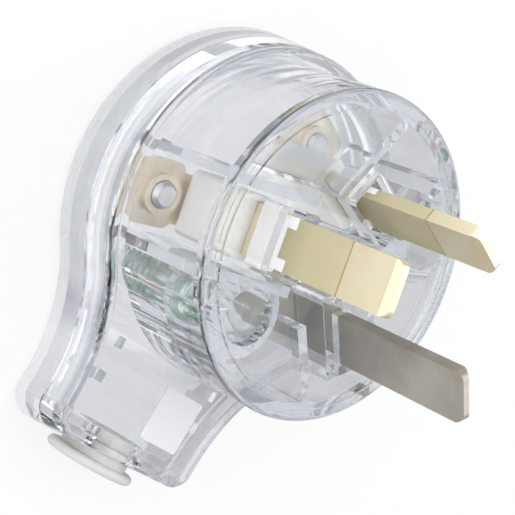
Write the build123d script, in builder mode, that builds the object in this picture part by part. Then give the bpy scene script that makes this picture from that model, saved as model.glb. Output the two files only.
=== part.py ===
from build123d import *
import os
from math import cos, radians, sin, tan

# Side-entry mains plug with three flat pins and a clear two-part body.
# Millimetres. The origin is the middle of the pin circle on the pin face, +Z runs along the pins
# away from the body, and +Y runs from the earth pin towards the two live pins.
# The cord leaves sideways through the tail, below and to the left when the pins face the viewer.

# Outer body
face_radius = 20.2
nose_height = 14.4
nose_draft = 1.2
face_edge = 0.6
face_groove_radius = 18.2
face_groove_width = 0.9
face_groove_depth = 0.3
rim_radius = 22.9
shell_draft = 6.5
rim_edge = 0.8
rim_height = 4.6
cover_height = 6.5
cover_edge = 1.9
tail_angle = 224.5
tail_reach = 34.3
tail_half_width = 12.0
tail_corner = 3.0
inner_corner = 0.5
neck_straight = 4.2

# Walls and the lip that centres the cover
nose_wall = 1.9
rim_wall = 1.8
face_wall = 2.4
shoulder_wall = 1.8
cover_wall = 1.8
seam = 0.08
lip_height = 1.6
lip_wall = 1.0
lip_clearance = 0.15

# Rooms for the terminals
room_width = 9.6
room_wall = 1.3
room_start = 3.0
live_room_overrun = 0.3
earth_room_end = 15.0
wall_overlap = 0.4

# Pins: blade sizes of the flat-pin system
pin_width = 6.35
pin_thickness = 1.63
pin_circle = 7.92
live_pin_angle = 30.0
live_pin_reach = 17.06
earth_pin_y = -10.31
earth_pin_reach = 19.94
pin_corner = 1.1
pin_bevel_length = 1.0
pin_bevel_depth = 0.4
pin_fit = 0.08

# Insulating sleeves of the live pins, with the band and the window that key them to the blade
sleeve_reach = 9.35
sleeve_wall = 0.32
sleeve_end = 6.3
band_start = 3.6
band_width = 7.8
band_depth = 3.4
band_edge = 0.4
window_width = 3.2
window_height = 1.3

# Openings around the live pins in the pin face, and the insulating blocks behind them
slot_length = 8.2
slot_breadth = 5.2
slot_corner = 0.6
pin_block_start = 8.3
pin_block_gap = 1.2
pin_block_width = 8.0
pin_block_depth = 4.8
pin_block_edge = 0.8

# Terminals: pad bent off the pin, clamp plate and screw
head_clearance = 0.37
pad_width = 8.0
pad_reach = 9.2
pad_corner = 1.2
bend_radius = 0.8
terminal_offset = 5.2
clamp_width = 7.4
clamp_length = 6.8
clamp_thickness = 1.2
clamp_corner = 0.6
clamp_groove = 0.3
clamp_groove_pitch = 5.0
thread_collar_radius = 2.5
thread_collar_height = 0.9
terminal_screw_radius = 1.7
terminal_screw_nose = 1.6
terminal_head_radius = 3.0
terminal_head_height = 1.9
terminal_head_edge = 0.7
screw_point = 0.5
slot_width = 0.8
slot_depth = 0.9
thread_fit = 0.05
earth_shank_width = 8.4
earth_guide_wall = 1.2
earth_guide_end = 8.0
earth_shoulder_fit = 0.1

# Screws that hold the cover
cover_screw_circle = 14.1
cover_screw_angle = 190.0
cover_screw_radius = 1.5
cover_screw_end_gap = 0.7
cover_screw_seat = 9.0
cover_head_radius = 2.5
cover_head_height = 2.0
cover_head_edge = 0.8
recess_width = 0.8
recess_reach = 3.4
recess_depth = 1.2
boss_radius = 5.4
well_radius = 3.4
shank_clearance = 0.25
cover_boss_radius = 3.6
stop_width = 5.0
stop_depth = 1.6
stop_gap = 0.2

# Cord bush and the ribs that grip the cord
bush_bore = 3.5
bush_wall = 1.0
bush_bead = 0.4
bush_bead_length = 1.0
bush_fit = 0.1
bush_inner_length = 1.2
bush_flange_gap = 0.05
bush_flange_thickness = 1.25
bush_flange_rise = 5.3
bush_flange_spread = 6.3
bush_flange_edge = 0.6
bush_seat_overrun = 1.0
grip_rib_thickness = 1.4
grip_rib_height = 1.6
grip_rib_pitch = 4.6
grip_rib_first = 19.0
grip_rib_clearance = 0.4
grip_ribs = 3

# Blank label on the tail
label_length = 7.1
label_width = 6.6
label_thickness = 0.12
label_gap = 2.25
label_across = 3.3
label_corner = 0.3
label_lift = 0.02

# Heights that follow from the sizes above
parting = -(nose_height + rim_height)
cover_top = parting - seam
back = parting - cover_height
cover_floor = back + cover_wall
nose_foot_radius = face_radius + (nose_height + rim_height) * tan(radians(nose_draft))
neck_end = tail_reach - neck_straight
neck_shoulder = rim_radius - tail_half_width
neck_blend = (neck_end**2 - rim_radius**2 + tail_half_width**2) / (2 * neck_shoulder)
shoulder_floor = -(nose_height + shoulder_wall)
bush_middle = (back - nose_height) / 2
bush_radius = bush_bore + bush_wall
bush_start = tail_reach - rim_wall - bush_inner_length
bead_start = tail_reach - (rim_wall + bush_bead_length) / 2
grip_rib_reach = tail_half_width - rim_wall - lip_clearance - lip_wall - grip_rib_clearance
well_floor = -cover_screw_seat
flange_start = tail_reach + cover_height * tan(radians(shell_draft)) + bush_flange_gap
label_along = nose_foot_radius + label_gap + label_length / 2
clamp_back = cover_floor + head_clearance + terminal_head_height
pad_back = clamp_back + clamp_thickness
pad_front = -(pad_back + pin_thickness)
live_room_end = pad_front + live_room_overrun
pin_block_end = pad_front - pin_block_gap
cover_screw_length = well_floor - cover_floor - cover_screw_end_gap
window_foot = -(sleeve_end + band_start + window_height) / 2

os.makedirs("parts", exist_ok=True)

tail_axis = Axis((0, 0, 0), (cos(radians(tail_angle)), sin(radians(tail_angle)), 0))


def tail_plane(height):
    """Level plane whose x axis runs out along the tail."""
    out = (cos(radians(tail_angle)), sin(radians(tail_angle)), 0)
    return Plane(origin=(0, 0, height), x_dir=out, z_dir=(0, 0, 1))


def tail_end_plane(along):
    """Upright plane across the tail, facing out of its end, centred on the cord."""
    out = (cos(radians(tail_angle)), sin(radians(tail_angle)), 0)
    origin = (along * out[0], along * out[1], bush_middle)
    return Plane(origin=origin, x_dir=(-out[1], out[0], 0), z_dir=out)


def round_outline(height):
    """Outer circle of the body at the parting."""
    with BuildSketch(tail_plane(height), mode=Mode.PRIVATE) as outline:
        Circle(rim_radius)
    return outline.sketch


def tail_outline(height):
    """Outer outline of the tail at the parting, with its two rounded corners."""
    with BuildSketch(tail_plane(height), mode=Mode.PRIVATE) as outline:
        with Locations((tail_reach / 2, 0)):
            Rectangle(tail_reach, 2 * tail_half_width)
        fillet(outline.vertices().group_by(Axis.X)[-1], tail_corner)
    return outline.sketch


def neck_edges(body, height):
    """The two upright edges where the sides of the tail meet the round body."""
    upright = body.edges().filter_by(lambda e: e.bounding_box().size.Z > height / 2)
    return upright.filter_by(lambda e: 0 < e.center().dot(tail_axis.direction) < rim_radius)


def body_outline(height, inset):
    """Inner outline of the body and its tail, drawn inset from the outer wall."""
    with BuildSketch(tail_plane(height), mode=Mode.PRIVATE) as outline:
        reach = tail_reach - inset
        Circle(rim_radius - inset)
        with Locations((reach / 2, 0)):
            Rectangle(reach, 2 * (tail_half_width - inset))
        corners = outline.vertices().group_by(Axis.X)
        fillet(corners[-1], max(tail_corner - inset, inner_corner))
        neck = outline.vertices().filter_by(lambda v: 0 < v.X < rim_radius)
        fillet(neck, neck_blend + inset)
    return outline.sketch


def pin_plane(centre, across, height):
    """Level plane on a pin: x runs across its blade, y points out of its broad face."""
    return Plane(origin=(centre[0], centre[1], height), x_dir=(cos(across), sin(across), 0), z_dir=(0, 0, 1))


def side_plane(centre, across):
    """Upright plane through a pin's middle: x points out of its broad face, y runs along the pin."""
    return Plane(
        origin=(centre[0], centre[1], 0),
        x_dir=(-sin(across), cos(across), 0),
        z_dir=(cos(across), sin(across), 0),
    )


def front_plane(centre, across):
    """Upright plane in a pin's middle: x runs across its blade, y runs along the pin."""
    return Plane(
        origin=(centre[0], centre[1], 0),
        x_dir=(cos(across), sin(across), 0),
        z_dir=(sin(across), -cos(across), 0),
    )


# Each pin: its centre and the direction across its blade
live_x = pin_circle * cos(radians(live_pin_angle))
live_y = pin_circle * sin(radians(live_pin_angle))
neutral = ((-live_x, live_y), radians(90 - live_pin_angle))
active = ((live_x, live_y), radians(live_pin_angle - 90))
earth = ((0, earth_pin_y), radians(-90))
screw_x = cover_screw_circle * cos(radians(cover_screw_angle))
screw_y = cover_screw_circle * sin(radians(cover_screw_angle))
screw_places = [(screw_x, screw_y), (-screw_x, screw_y)]


def room_walls(centre, across, distance):
    """Two walls beside a pin, from near the middle out to the side of the nose."""
    half = (room_width + room_wall) / 2
    middle = face_radius / 2 - room_start
    with BuildSketch(pin_plane(centre, across, wall_overlap - face_wall), mode=Mode.PRIVATE) as walls:
        with Locations((half, middle), (-half, middle)):
            Rectangle(room_wall, face_radius)
        with Locations((0, -distance)):
            Circle(face_radius - nose_wall + wall_overlap, mode=Mode.INTERSECT)
    return walls.sketch


def room_space(centre, across, distance):
    """Free space between the two walls of a pin's room."""
    with BuildSketch(pin_plane(centre, across, -face_wall), mode=Mode.PRIVATE) as space:
        with Locations((0, face_radius / 2 - room_start)):
            Rectangle(room_width, face_radius)
        with Locations((0, -distance)):
            Circle(face_radius - nose_wall, mode=Mode.INTERSECT)
    return space.sketch


def block(plane, width, depth, height, edge=0.0, offset=0.0, mode=Mode.ADD):
    """Upright block with rounded corners, its foot on the plane."""
    with BuildSketch(plane, mode=Mode.PRIVATE) as foot:
        with Locations((0, offset)):
            if edge > 0:
                RectangleRounded(width, depth, edge)
            else:
                Rectangle(width, depth)
    return extrude(foot.sketch, amount=height, mode=mode)


def disc(plane, radius, height, mode=Mode.ADD):
    """Round bar standing on the plane."""
    with BuildSketch(plane, mode=Mode.PRIVATE) as foot:
        Circle(radius)
    return extrude(foot.sketch, amount=height, mode=mode)


# Front body: the clear nose with the pin face, its rim and the front half of the tail
with BuildPart() as front_body:
    extrude(round_outline(parting), amount=rim_height, taper=shell_draft)
    extrude(tail_outline(parting), amount=rim_height, taper=shell_draft)
    fillet(neck_edges(front_body, rim_height), neck_blend)
    fillet(front_body.faces().sort_by(Axis.Z)[-1].edges(), rim_edge)
    with BuildSketch(Plane.XY.offset(parting)) as nose:
        Circle(nose_foot_radius)
    extrude(amount=nose_height + rim_height, taper=nose_draft)
    fillet(front_body.faces().sort_by(Axis.Z)[-1].edges(), face_edge)
    extrude(body_outline(parting, rim_wall), amount=rim_height - shoulder_wall, mode=Mode.SUBTRACT)
    disc(Plane.XY.offset(parting), face_radius - nose_wall, -parting - face_wall, mode=Mode.SUBTRACT)
    # walls of the three terminal rooms
    for centre, across in (neutral, active):
        extrude(room_walls(centre, across, pin_circle), amount=face_wall - wall_overlap - live_room_end)
    earth_walls = room_walls(earth[0], radians(180), -earth_pin_y)
    extrude(earth_walls, amount=face_wall - wall_overlap - earth_room_end)
    # bosses for the cover screws, cut back to the side wall
    with BuildSketch(Plane.XY.offset(parting)) as bosses:
        with Locations(screw_places):
            Circle(boss_radius)
        Circle(face_radius - nose_wall + wall_overlap, mode=Mode.INTERSECT)
    extrude(amount=-parting - face_wall + wall_overlap)
    for centre, across in (neutral, active):
        space = room_space(centre, across, pin_circle)
        extrude(space, amount=parting + face_wall, mode=Mode.SUBTRACT)
    # guide that holds the earth pin upright
    guide_foot = pin_plane(*earth, -earth_guide_end)
    guide_height = earth_guide_end - face_wall
    guide_depth = pin_thickness + 2 * (pin_fit + earth_guide_wall)
    guide_width = earth_shank_width + 2 * (pin_fit + earth_guide_wall)
    block(guide_foot, guide_width, guide_depth, guide_height + wall_overlap)
    shank_slot = (earth_shank_width + 2 * pin_fit, pin_thickness + 2 * pin_fit)
    block(guide_foot, *shank_slot, guide_height, mode=Mode.SUBTRACT)
    # ribs that press on the cord from the front
    with BuildSketch(tail_plane(shoulder_floor)) as ribs:
        for number in range(grip_ribs - 1):
            along = grip_rib_first + (number + 0.5) * grip_rib_pitch
            with Locations((along, 0)):
                Rectangle(grip_rib_thickness, 2 * grip_rib_reach)
    extrude(amount=-grip_rib_height)
    # circular groove in the pin face
    with BuildSketch(Plane.XY) as groove_ring:
        Circle(face_groove_radius + face_groove_width / 2)
        Circle(face_groove_radius - face_groove_width / 2, mode=Mode.SUBTRACT)
    extrude(amount=-face_groove_depth, mode=Mode.SUBTRACT)
    # openings in the pin face
    earth_slot = (pin_width + 2 * pin_fit, pin_thickness + 2 * pin_fit)
    block(pin_plane(*earth, -face_wall), *earth_slot, face_wall, mode=Mode.SUBTRACT)
    for centre, across in (neutral, active):
        slot_foot = pin_plane(centre, across, -face_wall)
        block(slot_foot, slot_length, slot_breadth, face_wall, edge=slot_corner, mode=Mode.SUBTRACT)
    # wells for the heads of the cover screws, with the holes for their shanks
    for place in screw_places:
        well = Plane(origin=(*place, well_floor))
        disc(well, well_radius, cover_screw_seat, mode=Mode.SUBTRACT)
        disc(well, cover_screw_radius + shank_clearance, parting - well_floor, mode=Mode.SUBTRACT)
    # seat of the cord bush in the end of the tail
    seat = (bush_radius + bush_fit, flange_start - bush_start + bush_seat_overrun)
    disc(tail_end_plane(bush_start), *seat, mode=Mode.SUBTRACT)
    groove = (bush_radius + bush_bead + bush_fit, bush_bead_length + 2 * bush_fit)
    disc(tail_end_plane(bead_start - bush_fit), *groove, mode=Mode.SUBTRACT)
front_body.part.label = "front_body"
export_step(front_body.part, "parts/front_body.step")

# Rear cover: the clear back with the other half of the tail and a lip that enters the front body
with BuildPart() as rear_cover:
    extrude(round_outline(cover_top), amount=back - cover_top, taper=-shell_draft)
    extrude(tail_outline(cover_top), amount=back - cover_top, taper=-shell_draft)
    fillet(neck_edges(rear_cover, cover_height), neck_blend)
    fillet(rear_cover.faces().sort_by(Axis.Z)[0].edges(), cover_edge)
    extrude(body_outline(cover_top, cover_wall), amount=cover_floor - cover_top, mode=Mode.SUBTRACT)
    lip_outside = rim_wall + lip_clearance
    lip_foot = cover_top - lip_height
    extrude(body_outline(lip_foot, cover_wall - wall_overlap), amount=lip_height)
    extrude(body_outline(cover_top, lip_outside), amount=lip_height)
    lip_inside = body_outline(lip_foot, lip_outside + lip_wall)
    extrude(lip_inside, amount=2 * lip_height, mode=Mode.SUBTRACT)
    with BuildSketch(Plane.XY.offset(cover_floor)) as bosses:
        with Locations(screw_places):
            Circle(cover_boss_radius)
    boss_height = cover_top - cover_floor
    extrude(amount=boss_height)
    for place in screw_places:
        boss_foot = Plane(origin=(*place, cover_floor))
        disc(boss_foot, cover_screw_radius + thread_fit, boss_height, mode=Mode.SUBTRACT)
    # stops behind the bends of the pins
    for centre, across in (neutral, active, earth):
        stop_foot = pin_plane(centre, across, cover_floor)
        block(stop_foot, stop_width, stop_depth, pad_back - stop_gap - cover_floor)
    # ribs that press on the cord from the back
    with BuildSketch(tail_plane(cover_floor)) as ribs:
        for number in range(grip_ribs):
            with Locations((grip_rib_first + number * grip_rib_pitch, 0)):
                Rectangle(grip_rib_thickness, 2 * grip_rib_reach)
    extrude(amount=grip_rib_height)
    disc(tail_end_plane(bush_start), *seat, mode=Mode.SUBTRACT)
    disc(tail_end_plane(bead_start - bush_fit), *groove, mode=Mode.SUBTRACT)
rear_cover.part.label = "rear_cover"
export_step(rear_cover.part, "parts/rear_cover.step")


def pin_profile(centre, across, reach):
    """Side view of a pin: blade with its tapered tip, shank, bend and pad."""
    half = pin_thickness / 2
    with BuildSketch(side_plane(centre, across), mode=Mode.PRIVATE) as profile:
        with BuildLine():
            Polyline(
                (-half, pad_back),
                (pad_reach - pad_corner, pad_back),
                (pad_reach - pad_corner, -pad_front),
                (half, -pad_front),
                (half, reach - pin_bevel_length),
                (half - pin_bevel_depth, reach),
                (pin_bevel_depth - half, reach),
                (-half, reach - pin_bevel_length),
                close=True,
            )
        make_face()
        inner_bend = profile.vertices().sort_by_distance((half, -pad_front))[0]
        fillet(inner_bend, bend_radius)
        outer_bend = profile.vertices().sort_by_distance((-half, pad_back))[0]
        fillet(outer_bend, bend_radius + pin_thickness)
    return profile.sketch


def pin_front(centre, across, reach):
    """Front view of a pin: a flat blade with its two tip corners rounded."""
    with BuildSketch(front_plane(centre, across), mode=Mode.PRIVATE) as front:
        with Locations((0, (reach + pad_back) / 2)):
            Rectangle(pin_width, reach - pad_back)
        fillet(front.vertices().group_by(Axis.Y)[-1], pin_corner)
    return front.sketch


def pin_pad(centre, across):
    """Wide pad with rounded corners, and a drawn collar round the tapped hole of its screw."""
    start = bend_radius + pin_thickness
    pad_middle = (pad_reach + start) / 2
    foot = pin_plane(centre, across, pad_back)
    block(foot, pad_width, pad_reach - start, pin_thickness, edge=pad_corner, offset=pad_middle)
    screw = terminal_plane(centre, across, pad_back)
    thread_length = pin_thickness + thread_collar_height
    disc(screw, thread_collar_radius, thread_length)
    disc(screw, terminal_screw_radius + thread_fit, thread_length, mode=Mode.SUBTRACT)


def terminal_plane(centre, across, height):
    """Level plane on the axis of a pin's terminal screw."""
    x = centre[0] - terminal_offset * sin(across)
    y = centre[1] + terminal_offset * cos(across)
    return Plane(origin=(x, y, height), x_dir=(cos(across), sin(across), 0), z_dir=(0, 0, 1))


# Live pins of brass, thinner where the sleeve wraps them, with the window that keys it
for name, pin in (("neutral", neutral), ("active", active)):
    with BuildPart() as live_pin:
        extrude(pin_profile(*pin, live_pin_reach), amount=pin_width / 2, both=True)
        extrude(pin_front(*pin, live_pin_reach), amount=pad_reach, both=True, mode=Mode.INTERSECT)
        pin_pad(*pin)
        with BuildSketch(pin_plane(*pin, -sleeve_end)) as neck:
            Rectangle(2 * pin_width, 2 * pin_thickness)
            Rectangle(pin_width - 2 * sleeve_wall, pin_thickness - 2 * sleeve_wall, mode=Mode.SUBTRACT)
        extrude(amount=sleeve_end + sleeve_reach, mode=Mode.SUBTRACT)
        window = (window_width, pin_thickness, window_height)
        block(pin_plane(*pin, window_foot), *window, mode=Mode.SUBTRACT)
    live_pin.part.label = name + "_pin"
    export_step(live_pin.part, "parts/" + name + "_pin.step")

# Earth pin: longer, without a sleeve, and with shoulders behind the pin face
with BuildPart() as earth_pin:
    extrude(pin_profile(*earth, earth_pin_reach), amount=pin_width / 2, both=True)
    extrude(pin_front(*earth, earth_pin_reach), amount=pad_reach, both=True, mode=Mode.INTERSECT)
    pin_pad(*earth)
    shoulder = -(face_wall + earth_shoulder_fit)
    shank_foot = -(pad_front - bend_radius)
    block(pin_plane(*earth, shank_foot), earth_shank_width, pin_thickness, shoulder - shank_foot)
earth_pin.part.label = "earth_pin"
export_step(earth_pin.part, "parts/earth_pin.step")

# Insulating sleeves: a thin cover on the blade and a band behind the pin face, keyed through the window
for name, pin in (("neutral", neutral), ("active", active)):
    with BuildPart() as sleeve:
        foot = pin_plane(*pin, -sleeve_end)
        block(foot, pin_width, pin_thickness, sleeve_end + sleeve_reach)
        block(foot, band_width, band_depth, sleeve_end - band_start, edge=band_edge)
        core = (pin_width - 2 * (sleeve_wall - pin_fit), pin_thickness - 2 * (sleeve_wall - pin_fit))
        block(foot, *core, sleeve_end + sleeve_reach, mode=Mode.SUBTRACT)
        key = (window_width - 2 * pin_fit, pin_thickness, window_height - 2 * pin_fit)
        block(pin_plane(*pin, window_foot + pin_fit), *key)
    sleeve.part.label = name + "_pin_sleeve"
    export_step(sleeve.part, "parts/" + name + "_pin_sleeve.step")

# Insulating blocks round the shanks of the live pins
for name, pin in (("neutral", neutral), ("active", active)):
    with BuildPart() as pin_block:
        foot = pin_plane(*pin, -pin_block_end)
        length = pin_block_end - pin_block_start
        block(foot, pin_block_width, pin_block_depth, length, edge=pin_block_edge)
        shank = (pin_width + 2 * pin_fit, pin_thickness + 2 * pin_fit)
        block(foot, *shank, length, mode=Mode.SUBTRACT)
    pin_block.part.label = name + "_pin_block"
    export_step(pin_block.part, "parts/" + name + "_pin_block.step")

# Clamp plates and screws of the three terminals
for name, pin in (("neutral", neutral), ("active", active), ("earth", earth)):
    with BuildPart() as clamp_plate:
        foot = terminal_plane(*pin, clamp_back)
        block(foot, clamp_width, clamp_length, clamp_thickness, edge=clamp_corner)
        disc(foot, terminal_screw_radius + shank_clearance, clamp_thickness, mode=Mode.SUBTRACT)
        with BuildSketch(terminal_plane(*pin, pad_back)) as grooves:
            with GridLocations(0, clamp_groove_pitch, 1, 2):
                Rectangle(clamp_width, 2 * clamp_groove)
        extrude(amount=-clamp_groove, mode=Mode.SUBTRACT)
    clamp_plate.part.label = name + "_clamp_plate"
    export_step(clamp_plate.part, "parts/" + name + "_clamp_plate.step")

    with BuildPart() as terminal_screw:
        head_back = clamp_back - terminal_head_height
        disc(terminal_plane(*pin, head_back), terminal_head_radius, terminal_head_height)
        fillet(terminal_screw.faces().sort_by(Axis.Z)[0].edges(), terminal_head_edge)
        shank_length = terminal_screw_nose - pad_front - clamp_back
        disc(terminal_plane(*pin, clamp_back), terminal_screw_radius, shank_length)
        chamfer(terminal_screw.faces().sort_by(Axis.Z)[-1].edges(), screw_point)
        slot_plane = terminal_plane(*pin, head_back)
        block(slot_plane, slot_width, 2 * terminal_head_radius, slot_depth, mode=Mode.SUBTRACT)
    terminal_screw.part.label = name + "_terminal_screw"
    export_step(terminal_screw.part, "parts/" + name + "_terminal_screw.step")

# Cover screws, driven from the pin face into the bosses of the rear cover
for name, place in (("left", screw_places[0]), ("right", screw_places[1])):
    with BuildPart() as cover_screw:
        seat = Plane(origin=(*place, well_floor))
        disc(seat, cover_head_radius, cover_head_height)
        fillet(cover_screw.faces().sort_by(Axis.Z)[-1].edges(), cover_head_edge)
        disc(seat, cover_screw_radius, -cover_screw_length)
        chamfer(cover_screw.faces().sort_by(Axis.Z)[0].edges(), screw_point)
        with BuildSketch(seat.offset(cover_head_height)) as recess:
            Rectangle(recess_reach, recess_width)
            Rectangle(recess_width, recess_reach)
        extrude(amount=-recess_depth, mode=Mode.SUBTRACT)
    cover_screw.part.label = name + "_cover_screw"
    export_step(cover_screw.part, "parts/" + name + "_cover_screw.step")

# Cord bush: a sleeve with a bead that snaps into the tail and an oval flange outside it
with BuildPart() as cord_bush:
    disc(tail_end_plane(bush_start), bush_radius, flange_start - bush_start + wall_overlap)
    disc(tail_end_plane(bead_start), bush_radius + bush_bead, bush_bead_length)
    with BuildSketch(tail_end_plane(flange_start)) as flange:
        Ellipse(bush_flange_spread, bush_flange_rise)
    extrude(amount=bush_flange_thickness)
    rims = cord_bush.edges().filter_by(GeomType.ELLIPSE)
    fillet(rims, bush_flange_edge)
    bore_length = flange_start + bush_flange_thickness - bush_start
    disc(tail_end_plane(bush_start), bush_bore, bore_length, mode=Mode.SUBTRACT)
cord_bush.part.label = "cord_bush"
export_step(cord_bush.part, "parts/cord_bush.step")

# Blank label on the front of the tail
with BuildPart() as blank_label:
    with BuildSketch(tail_plane(label_lift - nose_height)) as outline:
        with Locations((label_along, label_across)):
            RectangleRounded(label_length, label_width, label_corner)
    extrude(amount=label_thickness)
blank_label.part.label = "blank_label"
export_step(blank_label.part, "parts/blank_label.step")
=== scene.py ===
import math

import bmesh
import bpy
from mathutils import Matrix, Vector


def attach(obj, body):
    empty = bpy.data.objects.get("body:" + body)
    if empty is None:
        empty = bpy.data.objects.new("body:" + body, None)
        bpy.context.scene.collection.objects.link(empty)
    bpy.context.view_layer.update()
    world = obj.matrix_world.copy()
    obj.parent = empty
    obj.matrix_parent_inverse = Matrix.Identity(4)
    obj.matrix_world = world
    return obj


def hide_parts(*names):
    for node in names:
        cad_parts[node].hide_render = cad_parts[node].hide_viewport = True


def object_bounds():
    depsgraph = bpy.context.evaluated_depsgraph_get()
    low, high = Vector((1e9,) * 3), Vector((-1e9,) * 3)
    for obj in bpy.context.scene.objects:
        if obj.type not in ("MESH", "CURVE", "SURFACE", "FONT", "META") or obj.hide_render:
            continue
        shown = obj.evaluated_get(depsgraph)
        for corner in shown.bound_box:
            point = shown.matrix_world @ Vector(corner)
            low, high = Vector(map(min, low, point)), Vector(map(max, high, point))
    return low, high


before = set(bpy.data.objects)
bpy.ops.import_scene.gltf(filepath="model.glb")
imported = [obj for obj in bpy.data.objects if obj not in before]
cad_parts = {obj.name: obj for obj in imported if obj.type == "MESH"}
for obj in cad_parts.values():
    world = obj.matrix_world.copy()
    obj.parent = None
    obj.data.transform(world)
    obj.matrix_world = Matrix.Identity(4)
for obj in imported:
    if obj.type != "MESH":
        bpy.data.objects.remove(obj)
cad_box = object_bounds()

# A clear side-entry plug lies on its flat back with its three pins up, on a plain white floor.
# Metres, in the frame of the solids: +Z along the pins, the pin face at z = 0.
MM = 0.001
UP = (0, 0, 1)
BODY = "root"

# Camera: where it stands, the point it looks at and its upward direction
CAMERA_PLACE = Vector((-94.546, 65.831, 111.085)) * MM
CAMERA_AIM = Vector((-7.370, 0.810, -6.270)) * MM
CAMERA_UP = Vector((0.30149, 0.91116, -0.28088))
CAMERA_LENS = 95.878
CAMERA_SENSOR = 36
CAMERA_NEAR = 0.01
CAMERA_FAR = 10

# Cover screws, whose threads the solids leave plain: head, cross recess, plain neck and coarse thread
SCREW_SIDES = 32
HEAD_HEIGHT = 2.0 * MM
HEAD_ROUNDING = 0.8 * MM
HEAD_STEPS = 4
RECESS_REACH = 1.7 * MM
RECESS_WIDTH = 0.4 * MM
RECESS_DEPTH = 1.2 * MM
NECK_RADIUS = 1.0 * MM
NECK_LENGTH = 5.2 * MM
CORE_RADIUS = 0.9 * MM
THREAD_RADIUS = 1.5 * MM
THREAD_PITCH = 1.1 * MM
THREAD_FOOT = 0.5 * MM
THREAD_SUNK = 0.1 * MM
THREAD_STOP = 0.9 * MM
POINT_LENGTH = 0.5 * MM
SHARP_ANGLE = math.radians(35)

# Heights along the pins: where they go deep into the housing, and where the sleeves of the live pins end,
# with a thin painted shadow line on the brass
FAR_BELOW = -1.0
PIN_INSIDE = -4.0 * MM
SLEEVE_END = 9.35 * MM
SHADOW_LINE_WIDTH = 0.14 * MM

# The live pins: the direction from the middle of the plug to each, and how far out they stand
OUTWARD = {"active": (0.866, 0.5, 0), "neutral": (-0.866, 0.5, 0)}
PIN_CIRCLE = 7.92 * MM

# Solid white part of the sleeves: on the outer side it starts just above the pin face, with a notch that
# shows the brass, and on the inner side it starts deeper
INNER_DEPTH = 3.1 * MM
BAND_TOP = 0.5 * MM
BAND_FADE = 0.15 * MM
NOTCH_DEPTH = 1.5 * MM
NOTCH_REACH = 1.8 * MM

# The skin over the brass has painted shade near the pin face, and is a little cloudy all over
SKIN_PAINTED_SHADE = 0.70
SKIN_PAINTED_SHADE_END = 3.0 * MM
SKIN_CLOUD = 0.93

# Clear plastic: how fast light is lost on its way through it, so that long ways through a wall look greyer,
# and how strongly it bends light
PLASTIC_DEPTH_COLOUR = (0.83, 0.842, 0.86)
PLASTIC_DENSITY = 85.0
PLASTIC_BEND = 1.56

# The cover has painted grey shade at its outer edge, all round but for the tail
EDGE_START = 21.6 * MM
EDGE_END = 22.8 * MM
TAIL_DIRECTION = (-0.713, -0.701, 0)
TAIL_START = 18.0 * MM
TAIL_FADE = 6.0 * MM

# The floor: its size and paint, how far its light takes to fade, and how bright its lit and far sides are
FLOOR_SIZE = 1.5
FLOOR_PAINT = (0.9, 0.9, 0.9)
FLOOR_PATCH = 0.07
FLOOR_BRIGHT = 1.0
FLOOR_DIM = 0.42
LIGHT_SIDE = (-0.5, 0.85, 0)
FLOOR_SHARE = 0.75

# The surroundings: their light on the object, what lights the pieces behind clear walls, and the darker band
# that glass sees near the horizon
WORLD_COLOUR = (0.93, 0.95, 1.0)
WORLD_LIGHT = 0.55
INSIDE_LIGHT = 2.6
TURNED_LIGHT = 0.80
HORIZON_DIM = 0.62
HORIZON_START = 0.05
HORIZON_END = 0.55

# How often light may turn inside the clear mouldings and between shiny pieces before it is given up
CLEAR_BOUNCES = 48
GLOSSY_BOUNCES = 24

# Colours of the finishes
CLEAR_BODY = (0.895, 0.903, 0.917)
CLEAR_COVER = (0.845, 0.857, 0.877)
# Painted shade: the grey laid over the cover's outer edge
COVER_PAINTED_EDGE_SHADE = (0.62, 0.635, 0.665)
BLOCK_WHITE = (0.95, 0.94, 0.90)
BUSH_WHITE = (0.72, 0.715, 0.69)
SKIN_KHAKI = (0.62, 0.55, 0.34)
SLEEVE_WHITE = (0.93, 0.925, 0.90)
BRASS_BRIGHT = (1.0, 0.91, 0.67)
BRASS_DULL = (0.97, 0.85, 0.57)
BRASS_INSIDE = (1.0, 0.90, 0.74)
BRASS_PAINTED_SHADOW = (0.45, 0.33, 0.14)
STAMPED_BRIGHT = (1.0, 0.89, 0.76)
STAMPED_DULL = (0.98, 0.83, 0.68)
NICKEL_BRIGHT = (0.58, 0.54, 0.48)
NICKEL_DULL = (0.45, 0.415, 0.365)
STEEL_BRIGHT = (0.82, 0.82, 0.82)
STEEL_DULL = (0.72, 0.72, 0.74)
ZINC_BRIGHT = (0.80, 0.88, 0.83)
ZINC_GREEN = (0.42, 0.60, 0.49)
LABEL_BASE = (0.86, 0.87, 0.88)
LABEL_DARK = (0.76, 0.77, 0.78)
LABEL_PALE = (0.80, 0.81, 0.81)


def place_camera():
    """Camera at the photograph's angle."""
    data = bpy.data.cameras.new("camera")
    data.lens = CAMERA_LENS
    data.sensor_width = CAMERA_SENSOR
    data.clip_start = CAMERA_NEAR
    data.clip_end = CAMERA_FAR
    camera = bpy.data.objects.new("camera", data)
    bpy.context.scene.collection.objects.link(camera)
    back = (CAMERA_PLACE - CAMERA_AIM).normalized()
    right = CAMERA_UP.cross(back).normalized()
    up = back.cross(right)
    turn = Matrix((right, up, back)).transposed().to_4x4()
    camera.matrix_world = Matrix.Translation(CAMERA_PLACE) @ turn
    bpy.context.scene.camera = camera


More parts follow.
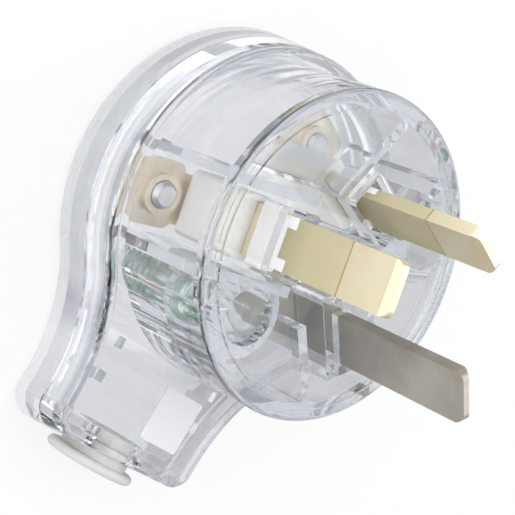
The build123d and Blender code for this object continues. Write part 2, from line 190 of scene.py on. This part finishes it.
class Graph:
    """Small helper that makes and joins the nodes of one material."""

    def __init__(self, name):
        self.material = bpy.data.materials.new(name)
        self.material.use_nodes = True
        self.tree = self.material.node_tree
        self.tree.nodes.clear()
        self.output = self.add("ShaderNodeOutputMaterial")

    def add(self, kind, **values):
        node = self.tree.nodes.new(kind)
        for key, value in values.items():
            setattr(node, key, value)
        return node

    def join(self, source, target):
        self.tree.links.new(source, target)

    def coordinates(self, scale=(1, 1, 1)):
        """Object coordinates, stretched by a Mapping node."""
        place = self.add("ShaderNodeTexCoord")
        mapping = self.add("ShaderNodeMapping")
        mapping.inputs["Scale"].default_value = scale
        self.join(place.outputs["Object"], mapping.inputs["Vector"])
        return mapping.outputs["Vector"]

    def along(self, direction):
        """How far a point lies in a direction."""
        product = self.add("ShaderNodeVectorMath", operation="DOT_PRODUCT")
        self.join(self.coordinates(), product.inputs[0])
        product.inputs[1].default_value = direction
        return product.outputs["Value"]

    def compare(self, value, operation, *limits):
        """One where a value keeps within its limits, otherwise nought."""
        node = self.add("ShaderNodeMath", operation=operation)
        self.join(value, node.inputs[0])
        for number, limit in enumerate(limits, 1):
            node.inputs[number].default_value = limit
        return node.outputs[0]

    def noise(self, scale, detail, stretch=(1, 1, 1)):
        """Cloudy pattern on the piece, longer along an axis whose stretch is small."""
        node = self.add("ShaderNodeTexNoise")
        node.inputs["Scale"].default_value = scale
        node.inputs["Detail"].default_value = detail
        self.join(self.coordinates(stretch), node.inputs["Vector"])
        return node.outputs["Fac"]

    def spread(self, value, low, high, start=0.3, end=0.7):
        """Maps a pattern onto a range of values."""
        node = self.add("ShaderNodeMapRange")
        node.inputs["From Min"].default_value = start
        node.inputs["From Max"].default_value = end
        node.inputs["To Min"].default_value = low
        node.inputs["To Max"].default_value = high
        self.join(value, node.inputs["Value"])
        return node.outputs["Result"]

    def blend_colours(self, factor, first, second):
        """Goes from one plain colour to another."""
        node = self.add("ShaderNodeMix", data_type="RGBA")
        node.inputs["A"].default_value = (*first, 1)
        node.inputs["B"].default_value = (*second, 1)
        self.join(factor, node.inputs["Factor"])
        return node.outputs["Result"]

    def lay_over(self, factor, colour, tone):
        """Lays a plain tone over a colour that varies."""
        node = self.add("ShaderNodeMix", data_type="RGBA")
        self.join(factor, node.inputs["Factor"])
        self.join(colour, node.inputs["A"])
        node.inputs["B"].default_value = (*tone, 1)
        return node.outputs["Result"]

    def both(self, first, second):
        """Product of two values, one at most: for two counts, one where neither is nought."""
        product = self.add("ShaderNodeMath", operation="MULTIPLY")
        self.join(first, product.inputs[0])
        self.join(second, product.inputs[1])
        limit = self.add("ShaderNodeMath", operation="MINIMUM")
        self.join(product.outputs[0], limit.inputs[0])
        limit.inputs[1].default_value = 1.0
        return limit.outputs[0]

    def bump(self, height, strength, distance):
        """Fine relief of a pattern."""
        node = self.add("ShaderNodeBump")
        node.inputs["Strength"].default_value = strength
        node.inputs["Distance"].default_value = distance
        self.join(height, node.inputs["Height"])
        return node.outputs["Normal"]

    def surface(self, colour, roughness, metallic=0.0, ior=1.5, transmission=0.0):
        """Principled surface with its plain numbers on its own sockets."""
        node = self.add("ShaderNodeBsdfPrincipled")
        node.inputs["Base Color"].default_value = (*colour, 1)
        node.inputs["Metallic"].default_value = metallic
        node.inputs["Roughness"].default_value = roughness
        node.inputs["IOR"].default_value = ior
        node.inputs["Transmission Weight"].default_value = transmission
        self.join(node.outputs["BSDF"], self.output.inputs["Surface"])
        return node


def clear_plastic(name, colour, painted_edge_shade=None):
    """Clear moulded polycarbonate: a faint flow pattern, a cool tint and, if wished, painted grey shade at
    its outer edge.
    """
    graph = Graph(name)
    node = graph.surface(colour, roughness=0.0, ior=PLASTIC_BEND, transmission=1.0)
    flow = graph.noise(scale=120, detail=2.0, stretch=(1, 1, 0.4))
    graph.join(graph.bump(flow, strength=0.03, distance=0.4 * MM), node.inputs["Normal"])
    haze = graph.noise(scale=900, detail=4.0)
    graph.join(graph.spread(haze, 0.0, 0.05), node.inputs["Roughness"])
    depth = graph.add("ShaderNodeVolumeAbsorption")
    depth.inputs["Color"].default_value = (*PLASTIC_DEPTH_COLOUR, 1)
    depth.inputs["Density"].default_value = PLASTIC_DENSITY
    graph.join(depth.outputs["Volume"], graph.output.inputs["Volume"])
    if painted_edge_shade:
        reach = graph.add("ShaderNodeVectorMath", operation="LENGTH")
        graph.join(graph.coordinates((1, 1, 0)), reach.inputs[0])
        edge = graph.spread(reach.outputs["Value"], 0, 1, EDGE_START, EDGE_END)
        round_part = graph.spread(graph.along(TAIL_DIRECTION), 1, 0, TAIL_START, TAIL_START + TAIL_FADE)
        # Painted shade: grey laid over the outer edge of the cover, in place of the dark edges clear plastic
        # shows
        tint = graph.blend_colours(graph.both(edge, round_part), colour, painted_edge_shade)
        graph.join(tint, node.inputs["Base Color"])
    return graph.material


def rolled_metal(name, bright, dull, roughness, stretch, grain, zones=()):
    """Metal strip with fine rolling lines, duller patches and zones of another colour along its height."""
    graph = Graph(name)
    node = graph.surface(bright, roughness, metallic=1.0)
    lines = graph.noise(scale=700, detail=2.0, stretch=stretch)
    patches = graph.noise(scale=180, detail=2.0)
    colour = graph.blend_colours(graph.spread(patches, 0, 1, start=0.35, end=0.72), bright, dull)
    for low, high, tone in zones:
        within = graph.compare(graph.along(UP), "COMPARE", (low + high) / 2, (high - low) / 2)
        colour = graph.lay_over(within, colour, tone)
    graph.join(colour, node.inputs["Base Color"])
    graph.join(graph.spread(lines, roughness - 0.05, roughness + 0.12), node.inputs["Roughness"])
    graph.join(graph.bump(lines, strength=grain, distance=0.02 * MM), node.inputs["Normal"])
    return graph.material


def plated_screw(name, bright, tint, roughness):
    """Plated steel whose tint comes and goes."""
    graph = Graph(name)
    node = graph.surface(bright, roughness, metallic=1.0)
    clouds = graph.noise(scale=500, detail=3.0)
    colour = graph.blend_colours(graph.spread(clouds, 0, 1, start=0.35, end=0.65), bright, tint)
    graph.join(colour, node.inputs["Base Color"])
    pits = graph.noise(scale=3000, detail=2.0)
    graph.join(graph.bump(pits, strength=0.2, distance=0.02 * MM), node.inputs["Normal"])
    return graph.material


def milky_plastic(name, colour, roughness, clearness):
    """Translucent plastic that light enters and leaves again a little further on."""
    graph = Graph(name)
    node = graph.surface(colour, roughness, ior=1.45, transmission=clearness)
    node.inputs["Subsurface Weight"].default_value = 0.5
    node.inputs["Subsurface Scale"].default_value = 1.5 * MM
    node.inputs["Subsurface Radius"].default_value = (1.0, 0.95, 0.85)
    texture = graph.noise(scale=1400, detail=4.0)
    graph.join(graph.bump(texture, strength=0.15, distance=0.03 * MM), node.inputs["Normal"])
    graph.join(graph.spread(texture, roughness - 0.05, roughness + 0.08), node.inputs["Roughness"])
    return graph.material


def sleeve_insulation(name, outward):
    """Milky insulation: khaki where it is a thin skin on the brass, white where it is a solid band."""
    graph = Graph(name)
    node = graph.surface(SKIN_KHAKI, roughness=0.36)
    height = graph.along(UP)
    across = (outward[1], -outward[0], 0)
    notch = graph.compare(graph.along(across), "COMPARE", 0.0, NOTCH_REACH)
    inner = graph.compare(graph.along(outward), "LESS_THAN", PIN_CIRCLE)
    lifted = height
    for place, lift in ((notch, NOTCH_DEPTH), (inner, INNER_DEPTH)):
        raised = graph.add("ShaderNodeMath", operation="MULTIPLY_ADD")
        graph.join(place, raised.inputs[0])
        raised.inputs[1].default_value = lift
        graph.join(lifted, raised.inputs[2])
        lifted = raised.outputs[0]
    band = graph.spread(lifted, 1, 0, BAND_TOP - BAND_FADE, BAND_TOP)
    cloud = graph.noise(scale=420, detail=3.0, stretch=(1, 1, 0.3))
    cloudy_khaki = tuple(SKIN_CLOUD * part for part in SKIN_KHAKI)
    skin = graph.blend_colours(graph.spread(cloud, 0, 1), SKIN_KHAKI, cloudy_khaki)
    # Painted shade: the khaki skin darkens towards the pin face
    painted_shade = graph.spread(height, SKIN_PAINTED_SHADE, 1.0, -NOTCH_DEPTH, SKIN_PAINTED_SHADE_END)
    shaded = graph.add("ShaderNodeVectorMath", operation="SCALE")
    graph.join(skin, shaded.inputs[0])
    graph.join(painted_shade, shaded.inputs["Scale"])
    colour = graph.lay_over(band, shaded.outputs["Vector"], SLEEVE_WHITE)
    graph.join(colour, node.inputs["Base Color"])
    fine = graph.noise(scale=1800, detail=3.0)
    graph.join(graph.bump(fine, strength=0.12, distance=0.02 * MM), node.inputs["Normal"])
    graph.join(graph.spread(fine, 0.3, 0.42), node.inputs["Roughness"])
    return graph.material


def label_paper(name):
    """White label stock with a faint fibre."""
    graph = Graph(name)
    node = graph.surface(LABEL_BASE, roughness=0.5)
    fibre = graph.noise(scale=2500, detail=4.0, stretch=(1, 3, 1))
    colour = graph.blend_colours(graph.spread(fibre, 0, 1), LABEL_DARK, LABEL_PALE)
    graph.join(colour, node.inputs["Base Color"])
    graph.join(graph.bump(fibre, strength=0.1, distance=0.02 * MM), node.inputs["Normal"])
    return graph.material


def dress(node_name, material):
    """Gives a solid its finish."""
    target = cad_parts[node_name]
    for slot in target.material_slots:
        slot.material = material


def parts_of(made, kind):
    """The vertices, edges or faces among what an operator made."""
    return [item for item in made if isinstance(item, kind)]


def next_ring(shape, edges, radius, height):
    """Extrudes a round outline to another radius and height, and returns the new outline."""
    made = bmesh.ops.extrude_edge_only(shape, edges=edges)["geom"]
    for vert in parts_of(made, bmesh.types.BMVert):
        arm = Vector((vert.co.x, vert.co.y, 0)).normalized() * radius
        vert.co = (arm.x, arm.y, height)
    return parts_of(made, bmesh.types.BMEdge)


def cross_outline(shape):
    """Outline of a cross recess in the plane z = 0."""
    arm = ((RECESS_REACH, -RECESS_WIDTH), (RECESS_REACH, RECESS_WIDTH), (RECESS_WIDTH, RECESS_WIDTH))
    turned = [Matrix.Rotation(math.radians(90 * turn), 3, "Z") @ Vector((*point, 0))
              for turn in range(4) for point in arm]
    verts = [shape.verts.new(point) for point in turned]
    return [shape.edges.new((verts[n - 1], verts[n])) for n in range(len(verts))]


def recessed_head(shape, radius):
    """Flat top with its cross recess and a rounded side, down to the seat of the head."""
    flat = radius - HEAD_ROUNDING
    bmesh.ops.create_circle(shape, segments=SCREW_SIDES, radius=flat)
    rim = list(shape.edges)
    cross = cross_outline(shape)
    bmesh.ops.triangle_fill(shape, use_beauty=True, edges=rim + cross)
    made = bmesh.ops.extrude_edge_only(shape, edges=cross)["geom"]
    bmesh.ops.translate(shape, verts=parts_of(made, bmesh.types.BMVert), vec=(0, 0, -RECESS_DEPTH))
    bmesh.ops.triangle_fill(shape, use_beauty=True, edges=parts_of(made, bmesh.types.BMEdge))
    for step in range(1, HEAD_STEPS + 1):
        turn = math.radians(90 * step / HEAD_STEPS)
        reach = flat + HEAD_ROUNDING * math.sin(turn)
        rim = next_ring(shape, rim, reach, HEAD_ROUNDING * (math.cos(turn) - 1))
    return next_ring(shape, rim, radius, -HEAD_HEIGHT)


def screw_thread(shape, start, end):
    """Sharp ridge wound round the core, as a triangle spun along a helix."""
    half = THREAD_FOOT / 2
    inside = CORE_RADIUS - THREAD_SUNK
    corners = ((inside, start - half), (THREAD_RADIUS, start), (inside, start + half))
    verts = [shape.verts.new((radius, 0, height)) for radius, height in corners]
    ridge = shape.faces.new(verts)
    turns = (start - end) / THREAD_PITCH
    steps = int(turns * SCREW_SIDES)
    bmesh.ops.spin(shape, geom=[ridge] + list(ridge.edges) + verts, cent=(0, 0, 0), axis=(0, 0, 1),
                   dvec=(0, 0, -(start - end) / steps), angle=2 * math.pi * turns, steps=steps)


def cover_screw(side, material):
    """Screw for plastic: recessed head, plain neck, coarse thread and blunt point, in the solid's place."""
    name = side + "_cover_screw"
    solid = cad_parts[name]
    corners = [solid.matrix_world @ Vector(corner) for corner in solid.bound_box]
    low = Vector([min(corner[axis] for corner in corners) for axis in range(3)])
    high = Vector([max(corner[axis] for corner in corners) for axis in range(3)])
    length = high.z - low.z
    shape = bmesh.new()
    rim = recessed_head(shape, (high.x - low.x) / 2)
    neck_end = -HEAD_HEIGHT - NECK_LENGTH
    profile = ((NECK_RADIUS, -HEAD_HEIGHT), (NECK_RADIUS, neck_end), (CORE_RADIUS, neck_end),
               (CORE_RADIUS, POINT_LENGTH - length), (CORE_RADIUS / 2, -length))
    for radius, height in profile:
        rim = next_ring(shape, rim, radius, height)
    bmesh.ops.contextual_create(shape, geom=rim)
    screw_thread(shape, neck_end, THREAD_STOP - length)
    bmesh.ops.recalc_face_normals(shape, faces=shape.faces)
    for face in shape.faces:
        face.smooth = True
    for edge in shape.edges:
        edge.smooth = not edge.is_manifold or edge.calc_face_angle() < SHARP_ANGLE
    middle = (low + high) / 2
    bmesh.ops.translate(shape, verts=shape.verts, vec=(middle.x, middle.y, high.z))
    mesh = bpy.data.meshes.new("threaded_" + name)
    shape.to_mesh(mesh)
    shape.free()
    mesh.materials.append(material)
    piece = bpy.data.objects.new("threaded_" + name, mesh)
    bpy.context.scene.collection.objects.link(piece)
    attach(piece, BODY)
    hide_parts(name)


def seen_by_glass(graph):
    """One for camera, glossy and transmission rays, nought for the rays that only light the object."""
    path = graph.add("ShaderNodeLightPath")
    seen = path.outputs["Is Camera Ray"]
    for other in ("Is Glossy Ray", "Is Transmission Ray"):
        largest = graph.add("ShaderNodeMath", operation="MAXIMUM")
        graph.join(seen, largest.inputs[0])
        graph.join(path.outputs[other], largest.inputs[1])
        seen = largest.outputs[0]
    return seen


def camera_or(graph, through_glass):
    """White for the camera, a grey value for what glass and metal show, more for what lights the inside."""
    path = graph.add("ShaderNodeLightPath")
    value = through_glass
    for factor, level in (
        (graph.both(path.outputs["Glossy Depth"], path.outputs["Transmission Depth"]), TURNED_LIGHT),
        (graph.both(path.outputs["Diffuse Depth"], path.outputs["Transmission Depth"]), INSIDE_LIGHT),
        (path.outputs["Is Camera Ray"], 1.0),
    ):
        mix = graph.add("ShaderNodeMix", data_type="FLOAT")
        graph.join(factor, mix.inputs["Factor"])
        graph.join(value, mix.inputs["A"])
        mix.inputs["B"].default_value = level
        value = mix.outputs["Result"]
    return value


def make_floor():
    """Wide white floor at the height of the plug's back; glass and metal see it dim away from the lamps."""
    mesh = bpy.data.meshes.new("floor")
    shape = bmesh.new()
    bmesh.ops.create_grid(shape, x_segments=1, y_segments=1, size=FLOOR_SIZE)
    bmesh.ops.translate(shape, verts=shape.verts, vec=(0, 0, cad_box[0][2]))
    shape.to_mesh(mesh)
    shape.free()
    floor = bpy.data.objects.new("floor", mesh)
    bpy.context.scene.collection.objects.link(floor)
    graph = Graph("floor_white")
    paint = graph.add("ShaderNodeBsdfDiffuse")
    paint.inputs["Color"].default_value = (*FLOOR_PAINT, 1)
    brightness = graph.spread(graph.along(LIGHT_SIDE), FLOOR_DIM, FLOOR_BRIGHT, -FLOOR_PATCH, FLOOR_PATCH)
    white = graph.add("ShaderNodeEmission")
    graph.join(camera_or(graph, brightness), white.inputs["Strength"])
    share = graph.add("ShaderNodeMath", operation="MULTIPLY")
    graph.join(seen_by_glass(graph), share.inputs[0])
    share.inputs[1].default_value = FLOOR_SHARE
    mix = graph.add("ShaderNodeMixShader")
    graph.join(share.outputs[0], mix.inputs["Fac"])
    graph.join(paint.outputs[0], mix.inputs[1])
    graph.join(white.outputs[0], mix.inputs[2])
    graph.join(mix.outputs[0], graph.output.inputs["Surface"])
    mesh.materials.append(graph.material)


class WorldGraph(Graph):
    """The same helper for the surroundings."""

    def __init__(self, name):
        world = bpy.data.worlds.new(name)
        world.use_nodes = True
        bpy.context.scene.world = world
        self.tree = world.node_tree
        self.tree.nodes.clear()
        self.output = self.add("ShaderNodeOutputWorld")


def make_world():
    """White studio: it lights the object softly, and glass and metal see a darker band near the horizon."""
    graph = WorldGraph("surroundings")
    soft = graph.add("ShaderNodeBackground")
    soft.inputs["Color"].default_value = (*WORLD_COLOUR, 1)
    soft.inputs["Strength"].default_value = WORLD_LIGHT
    place = graph.add("ShaderNodeTexCoord")
    height = graph.add("ShaderNodeSeparateXYZ")
    graph.join(place.outputs["Generated"], height.inputs["Vector"])
    brightness = graph.spread(height.outputs["Z"], HORIZON_DIM, 1.0, HORIZON_START, HORIZON_END)
    white = graph.add("ShaderNodeBackground")
    graph.join(camera_or(graph, brightness), white.inputs["Strength"])
    mix = graph.add("ShaderNodeMixShader")
    graph.join(seen_by_glass(graph), mix.inputs["Fac"])
    graph.join(soft.outputs[0], mix.inputs[1])
    graph.join(white.outputs[0], mix.inputs[2])
    graph.join(mix.outputs[0], graph.output.inputs["Surface"])


def add_lamp(name, place, size, power):
    """Soft area lamp that faces the middle of the pin face."""
    data = bpy.data.lights.new(name, "AREA")
    data.shape = "RECTANGLE"
    data.size, data.size_y = size
    data.energy = power
    lamp = bpy.data.objects.new(name, data)
    lamp.location = place
    lamp.rotation_euler = (-Vector(place)).to_track_quat("-Z", "Y").to_euler()
    bpy.context.scene.collection.objects.link(lamp)


# Studio
place_camera()
make_world()
make_floor()
add_lamp("key_lamp", place=(-0.25, 0.35, 0.5), size=(1.3, 1.3), power=6.6)
add_lamp("fill_lamp", place=(0.45, -0.1, 0.35), size=(0.5, 0.7), power=1.0)

# Finishes that several pieces share
block_plastic = milky_plastic("block_plastic", BLOCK_WHITE, roughness=0.35, clearness=0.0)
brass_zones = (
    (FAR_BELOW, PIN_INSIDE, BRASS_INSIDE),
    # Painted shadow: a thin dark line on the brass where the sleeve ends
    (SLEEVE_END, SLEEVE_END + SHADOW_LINE_WIDTH, BRASS_PAINTED_SHADOW),
)
brass = rolled_metal("bright_brass", BRASS_BRIGHT, BRASS_DULL, roughness=0.36,
                     stretch=(0.3, 0.3, 3), grain=0.0, zones=brass_zones)
stamped_brass = rolled_metal("stamped_brass", STAMPED_BRIGHT, STAMPED_DULL, roughness=0.5,
                             stretch=(1, 1, 1), grain=0.05)
nickel = rolled_metal("rolled_nickel", NICKEL_BRIGHT, NICKEL_DULL, roughness=0.36,
                      stretch=(1, 1, 6), grain=0.15)
steel = plated_screw("plated_steel", STEEL_BRIGHT, STEEL_DULL, roughness=0.3)
green_zinc = plated_screw("green_zinc", ZINC_BRIGHT, ZINC_GREEN, roughness=0.22)

# Every piece of the plug with its finish
dress("front_body", clear_plastic("clear_body", CLEAR_BODY))
dress("rear_cover", clear_plastic("clear_cover", CLEAR_COVER, COVER_PAINTED_EDGE_SHADE))
for side, outward in OUTWARD.items():
    dress(side + "_pin", brass)
    dress(side + "_pin_sleeve", sleeve_insulation(side + "_sleeve_insulation", outward))
    dress(side + "_pin_block", block_plastic)
dress("earth_pin", nickel)
for side in ("active", "neutral", "earth"):
    dress(side + "_clamp_plate", stamped_brass)
    dress(side + "_terminal_screw", steel)
for side in ("left", "right"):
    cover_screw(side, green_zinc)
dress("cord_bush", milky_plastic("milky_bush", BUSH_WHITE, roughness=0.42, clearness=0.15))
dress("blank_label", label_paper("label_paper"))

bpy.context.scene.view_settings.view_transform = "Standard"
bpy.context.scene.cycles.max_bounces = CLEAR_BOUNCES
bpy.context.scene.cycles.transmission_bounces = CLEAR_BOUNCES
bpy.context.scene.cycles.glossy_bounces = GLOSSY_BOUNCES
